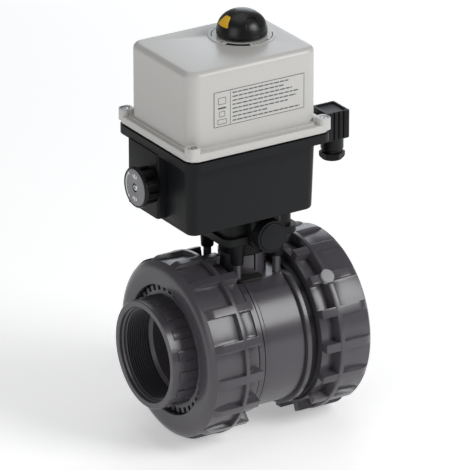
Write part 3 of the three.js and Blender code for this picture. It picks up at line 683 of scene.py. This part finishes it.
# %% Cover
COVER_Z0, COVER_Z1 = 215.4, 295.4
SCREWS = [(-96.5, -69.3), (44.9, -69.3), (44.9, 47.3), (-96.5, 47.3)]
hood = block("hood", (X0, Y0, COVER_Z0), (X1, Y1, COVER_Z1), side=13, top=5.5, steps=10)
lip = block("lip", (X0 - 2.6, Y0 - 5.2, 221), (X1 + 2.6, Y1 + 5.2, 224.2), side=14, steps=10)
combine(hood, lip, "UNION")
flange = block("flange", (-102, -75, COVER_Z0), (50.4, 53, 222.5), side=11, top=0.8, steps=10)
combine(hood, flange, "UNION")
for x, y in SCREWS:
    sx = -1 if x < 0 else 1
    sy = -1 if y < 0 else 1
    corner = (-102 if sx < 0 else 50.4, -75 if sy < 0 else 53)
    low = (min(corner[0], x - sx * 7.4), min(corner[1], y - sy * 7.4), 217)
    high = (max(corner[0], x - sx * 7.4), max(corner[1], y - sy * 7.4), 228.5)
    combine(hood, block("lug", low, high, side=4.4, top=0.8), "UNION")
    edge = y - sy * 8.6
    combine(hood, block("notch", (x - 2.3, edge - 1.6, 223.4), (x + 2.3, edge + 1.6, 232), side=1.4))
combine(hood, block("inside", (X0 + 3.5, Y0 + 3.5, 210), (X1 - 3.5, Y1 - 3.5, 291.4), side=9, top=3))
combine(hood, rod("shaft_way", 8.4, 280, 300, "Z", steps=48))
for x, y in SCREWS:
    combine(hood, rod("screw_way", 2.5, 200, 230, "Z", (x, y, 0), 24))
    combine(hood, rod("screw_room", 4.5, 224.6, 232, "Z", (x, y, 0), 32))
soften(hood, 0.5)
hand_over(hood, "valve", "cover", cover_grey, "cover")


# %% Cover screws
def cross_screw(name, x, y, foot, shank, head_z, head_r, height):
    top = head_z + height
    screw = lathe(name, [(foot, 0), (foot, shank), (head_z, shank), (head_z, head_r),
                         (head_z + height * 0.55, head_r), (top - 0.15, head_r * 0.72), (top, head_r * 0.3),
                         (top, 0)], "Z", (x, y, 0), 40)
    arm = head_r * 0.55
    for dx, dy in ((arm, 0.45), (0.45, arm)):
        combine(screw, block("cross", (x - dx, y - dy, top - 1.5), (x + dx, y + dy, top + 2)))
    return soften(screw, 0.12)


for i, (x, y) in enumerate(SCREWS):
    screw = cross_screw(f"case_screw_{i + 1}", x, y, 208.2, 1.9, 224.8, 4.1, 3.2)
    hand_over(screw, "valve", "steel", zinc, f"cover_screw_{i + 1}")

# %% [markdown]
# ## Position dome
# The dome turns with the shaft. Four arched windows are let into it, and two opposite ones have a
# yellow insert that shows which way the flow passes.


# %% Position dome
def dome_profile(radius, height, foot):
    return [(foot, 0), (foot, radius - 0.6), (foot + 0.8, radius), (302.5, radius)] + \
        [(302.5 + height * math.sin(math.radians(a)), (radius - 0.5) * math.cos(math.radians(a)))
         for a in range(6, 90, 7)] + [(302.5 + height, 0)]


def window(inset):
    """A rounded arch, wide at its foot, that faces -X."""
    outline = [(-7.6, 307.6), (7.6, 307.6), (8.2, 308.6), (4.6, 315.4), (3, 316.4), (-3, 316.4),
               (-4.6, 315.4), (-8.2, 308.6)]
    shrunk = [(y * (1 - inset), 312 + (z - 312) * (1 - inset)) for y, z in outline]
    return bar("window", shrunk, -40, -4, "X")


dome = lathe("dome_shell", dome_profile(23.5, 17.8, 297.2), "Z", steps=128)
for quarter in range(4):
    opening = window(0)
    combine(opening, lathe("core", dome_profile(22.7, 17, 290), "Z", steps=96))
    combine(dome, turned(opening, 90 * quarter, "Z"))
combine(dome, rod("shaft_way", 5.4, 290, 306, "Z", steps=40))
soften(dome, 0.35, 2, 35)
hand_over(dome, "valve_turning_set", "gloss", dome_black, "indicator_dome")
for quarter, name in ((0, "left"), (2, "right")):
    flag = window(0.04)
    combine(flag, lathe("skin", dome_profile(23.4, 17.7, 290), "Z", steps=96), "INTERSECT")
    combine(flag, lathe("core", dome_profile(22.8, 17.1, 289), "Z", steps=96))
    turned(flag, 90 * quarter, "Z")
    soften(flag, 0.15)
    hand_over(flag, "valve_turning_set", "yellow", flag_yellow, f"indicator_flag_{name}")

# %% [markdown]
# The scale under the dome is a printed ring: a dark bar across each end of travel, fine ticks between
# them, and plain figures.

# %% Scale ring
scale = lathe("scale_disc", ring([(295.5, 10), (295.5, 31.5), (295.7, 31.5), (295.9, 31.2), (295.9, 10)]),
              "Z", steps=128)
soften(scale, 0.08)
hand_over(scale, "valve", "cover", cover_grey, "scale_ring")


def ring_mark(start, sweep, inner, outer, z=295.9):
    edge = [(z, inner), (z, outer), (z + 0.08, outer), (z + 0.08, inner)]
    return turned(wedge("mark", edge, "Z", sweep=sweep, steps=max(2, int(sweep / 3))), start, "Z")


def figure(text, size, place, angle):
    clear()
    bpy.ops.object.text_add(location=(0, 0, 0))
    words = bpy.context.object
    words.data.body = text
    words.data.size = size * MM
    words.data.align_x = "CENTER"
    words.data.align_y = "CENTER"
    words.data.extrude = 0.04 * MM
    bpy.ops.object.convert(target="MESH")
    return moved(turned(words, angle, "Z"), place)


marks = [ring_mark(a, 45, 26.2, 31.1) for a in (-152, 28)]
marks += [ring_mark(a, 34, 27.6, 28.6) for a in (-55, 125)]
marks += [ring_mark(a + half, 1.4, 26.4, 30.2) for half in (0, 180) for a in (-100, -93, -86, -79, -72)]
for angle, text in ((-164, "0"), (-63, "90"), (16, "0"), (117, "90")):
    a = math.radians(angle)
    marks.append(figure(text, 5, (27.8 * math.cos(a), 27.8 * math.sin(a), 295.94), angle + 90))
hand_over(joined(marks, "scale_marks"), "valve", "gloss", ink)

# %% [markdown]
# ## Front label
# A printed frame with three plain boxes and a bar beside eight broken lines of differing length. They
# stand for printed notes and say nothing.

# %% Front label
PLATE_Y = Y0 - 0.35
plate = block("label_film", (-70, Y0 - 0.3, 239.8), (26.5, Y0 + 0.4, 273.6))
hand_over(plate, "valve", "cover", cover_grey, "label_plate")


def stroke(x0, z0, x1, z1, wide=0.5):
    """A printed line between two places on the plate."""
    length = math.hypot(x1 - x0, z1 - z0)
    line = block("stroke", (-length / 2, PLATE_Y - 0.03, -wide / 2), (length / 2, PLATE_Y + 0.1, wide / 2))
    turned(line, -math.degrees(math.atan2(z1 - z0, x1 - x0)), "Y")
    return moved(line, ((x0 + x1) / 2, 0, (z0 + z1) / 2))


def frame_of(x0, z0, x1, z1, wide=0.5):
    """Four strokes round a rectangle."""
    return [stroke(x0, z0, x1, z0, wide), stroke(x0, z1, x1, z1, wide),
            stroke(x0, z0, x0, z1, wide), stroke(x1, z0, x1, z1, wide)]


lines = frame_of(-69.8, 240.0, 26.3, 273.4) + [stroke(-52.7, 240.0, -52.7, 273.4)]
for i, share in enumerate((0.82, 0.74, 0.86, 0.95, 0.92, 0.8, 0.5, 0.97)):
    z = 270.3 - i * 3.85
    end = -50.3 + 74 * share
    x = -50.3
    while x < end:
        word = 3.2 + 2.6 * abs(math.sin(x * 1.7 + i * 2.3))
        lines.append(stroke(x, z, min(x + word, end), z, 1.15))
        x += word + 0.9
lines += frame_of(-65.5, 261.4, -57.5, 267.6) + [stroke(-65.8, 257.6, -57.2, 257.6, 1.6)]
lines += frame_of(-64.5, 249.4, -58.5, 254.2) + frame_of(-66, 242.3, -57, 246.7)
hand_over(joined(lines, "label_print"), "valve", "gloss", ink_soft)

# %% [markdown]
# ## Selector knob
# A fluted knob with a grey disc let into its face. A curved arrow and two small marks show its two
# positions, and a cross-head screw holds it.

# %% Selector knob
KY, KZ = -13, 175.8
KNOB_IN, KNOB_OUT = -104.6, -123.5
knob = lathe("knob_shell", [(KNOB_IN, 0), (KNOB_IN, 15.6), (-107, 15.6), (-107.6, 17.4), (-118.6, 17.4),
                            (-119.2, 18.6), (-120, 19.2), (-122.4, 19.2), (KNOB_OUT, 18.3), (KNOB_OUT, 17.7),
                            (-122.4, 17.6), (-122.4, 0)], "X", (0, KY, KZ), 144)
flute = wedge("flute", [(-118, 15.2), (-118, 19), (-104, 19), (-104, 15.2)], "X", (0, KY, KZ), 17, 8)
combine(knob, around(flute, 9, "X", (0, KY, KZ)))
combine(knob, rod("screw_way", 3.5, -123, -100, "X", (0, KY, KZ), 32))
soften(knob, 0.35)
hand_over(knob, "selector", "black", knob_black, "selector_knob")

disc = lathe("knob_disc", ring([(-122.5, 4.2), (-122.5, 17.4), (-123.0, 17.4), (-123.2, 17.2), (-123.2, 4.2)]),
             "X", (0, KY, KZ), 96)
soften(disc, 0.1)
hand_over(disc, "selector", "disc", disc_grey, "selector_face")
arrow = wedge("arrow", [(-123.2, 14.6), (-123.2, 15.5), (-123.3, 15.5), (-123.3, 14.6)], "X", (0, KY, KZ), 88, 24)
turned(arrow, -134, "X", (0, KY, KZ))
white_marks = [arrow]
for angle in (-134, -46):
    tip = bar("tip", [(KY - 1.5, KZ + 15.05), (KY + 1.5, KZ + 15.05), (KY, KZ + 17.6)], -123.3, -123.2, "X")
    turned(tip, -90 if angle < -90 else 90, "X", (0, KY, KZ + 15.05))
    turned(tip, angle, "X", (0, KY, KZ))
    white_marks.append(tip)
for angle in (-14, 0, 14, 166, 180, 194):
    low, high = (9.4, 12.4) if angle % 180 else (8.6, 13.2)
    dot = block("dot", (-123.3, KY - 0.6, KZ + low), (-123.2, KY + 0.6, KZ + high))
    white_marks.append(turned(dot, angle, "X", (0, KY, KZ)))
hand_over(joined(white_marks, "knob_marks"), "selector", "cover", ink_white)

screw = cross_screw("knob_screw", 0, 0, -3.6, 1.5, 1.2, 3.2, 2.0)
moved(turned(screw, -90, "Y"), (-120.2, KY, KZ))
hand_over(screw, "selector", "steel", zinc, "selector_screw")

# %% [markdown]
# ## Cable plug
# A square three-pin plug with grip grooves, a recessed lid, and a short gland that points down.

# %% Cable plug
PY = -10.6
plug = block("plug_shell", (63.2, PY - 14, 180.4), (103.2, PY + 14, 208.2), side=2.2, top=1.0, foot=1.2)
combine(plug, block("step", (60, -40, 201), (78, 20, 215)))
combine(plug, block("lid_recess", (80.5, PY - 11.2, 206.9), (100.4, PY + 11.2, 210), side=1))
for sy in (-1, 1):
    for i in range(3):
        x = 84.5 + i * 5.2
        combine(plug, block("groove", (x, PY + sy * 14 - 1.3, 179), (x + 1.7, PY + sy * 14 + 1.3, 210)))
for y in (-7, 0, 7):
    combine(plug, block("groove", (102, PY + y - 0.8, 190), (105, PY + y + 0.8, 210)))
neck_profile = [(182, 0), (182, 10.8), (168.5, 10.8), (167.4, 9.6), (165.2, 9.6), (165.2, 0)]
combine(plug, lathe("neck", neck_profile, "Z", (92.4, PY, 0), 64), "UNION")
combine(plug, rod("cable_way", 5.2, 150, 198, "Z", (92.4, PY, 0), 40))
combine(plug, rod("screw_way", 3.2, 190.5, 215, "Z", (71, PY, 0), 32))
soften(plug, 0.35)
hand_over(plug, "valve", "black", plug_black, "plug_body")

base = block("connector_foot", (43.4, PY - 14, 176.8), (49, PY + 14, 204.8), side=0)
combine(base, block("neck", (48, PY - 12.5, 178.3), (61, PY + 12.5, 203.3)), "UNION")
combine(base, rod("wire_way", 7, 40, 70, "X", (0, PY, 190.8), 32))
soften(base, 1.4, 3)
hand_over(base, "valve", "black", plug_black, "connector_base")

screw = cross_screw("plug_head_screw", 71, PY, 190.9, 2.9, 198.2, 2.9, 1.8)
hand_over(screw, "valve", "steel", zinc, "plug_screw")

hexagon = [(92.4 + 12.2 * math.cos(math.radians(30 + 60 * i)), PY + 12.2 * math.sin(math.radians(30 + 60 * i)))
           for i in range(6)]
gland = bar("gland_hexagon", hexagon, 159.4, 164.9)
chamfer = lathe("chamfer", [(158, 0), (158, 10.6), (164, 14), (165.2, 11.4), (165.2, 0)], "Z", (92.4, PY, 0), 64)
combine(gland, chamfer, "INTERSECT")
foot_ring = lathe("foot", [(158, 0), (158, 9.6), (158.6, 10.2), (160.5, 10.2), (160.5, 0)], "Z", (92.4, PY, 0), 64)
combine(gland, foot_ring, "UNION")
combine(gland, rod("cable_way", 4.2, 150, 170, "Z", (92.4, PY, 0), 40))
soften(gland, 0.25)
hand_over(gland, "valve", "black", plug_black, "gland_nut")

# %% [markdown]
# ## Finishes for the parts that keep their CAD shape
# Inner parts are already the right shape, so each only takes the finish of its real material.

# %% Inner finishes
KEPT = {
    pvc: ["ball", "seat_carrier_left", "seat_carrier_right", "stem"],
    # the saddle pad is a thin black plate in front of the neck; its black also paints the shade that the neck and
    # bracket cast there
    seal_and_shade_black: ["saddle_pad", "stem_ring_lower", "stem_ring_upper", "body_seal_left", "body_seal_right",
                 "cover_gasket", "plug_gasket", "gland_seal"],
    seat_white: ["ball_seat_left", "ball_seat_right"],
    zinc: [f"bracket_screw_{i}" for i in range(1, 5)] + ["drive_coupling", "motor"],
    steel: ["output_shaft", "output_gear", "gear_pin"],
    plate_steel: ["gear_plate"],
    brass: ["motor_pinion", "selector_shaft"],
    acetal: ["intermediate_gear"],
    flag_yellow: ["cam_open"],
    acetal_red: ["cam_closed"],
    plug_black: ["limit_switch_open", "limit_switch_closed"],
    board_green: ["circuit_board"],
    terminal_blue: ["terminal_block"],
}
for finish, names in KEPT.items():
    for name in names:
        node = bpy.data.objects[name]
        node.data.materials.clear()
        node.data.materials.append(finish)
